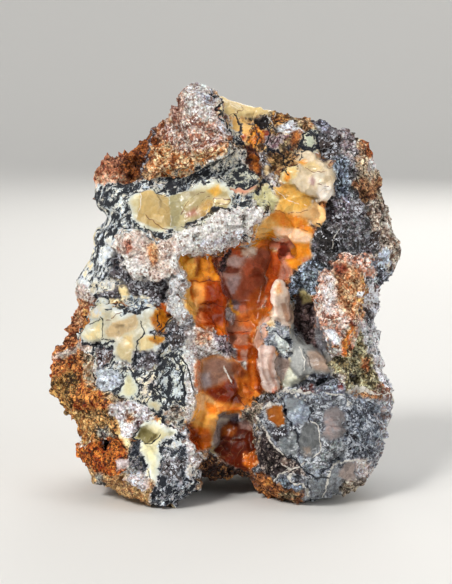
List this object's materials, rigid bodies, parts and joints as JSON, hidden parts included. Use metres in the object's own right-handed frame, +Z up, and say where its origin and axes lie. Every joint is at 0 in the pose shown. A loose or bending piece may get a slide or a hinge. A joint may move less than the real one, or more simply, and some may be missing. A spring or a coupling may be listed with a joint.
{
  "type": "mexican opal in matrix",
  "caption": "Rough hand-sized stone of rhyolite with dendritic common opal, sugary quartz and an orange fire opal hollow, standing on its own feet.",
  "frame": {"origin": "middle of the bounding box at the level of the flat feet", "axes": "+Z up, -Y toward the side with the opal hollow, +X to the right as that side is faced"},
  "size_m": [0.1064, 0.07, 0.1224],
  "materials": {
    "opal_in_matrix": "broken rock, matt and sugary, with glossy opal faces"
  },
  "bodies": {
    "root": {"opal_rough": "opal_in_matrix"}
  },
  "joints": []
}
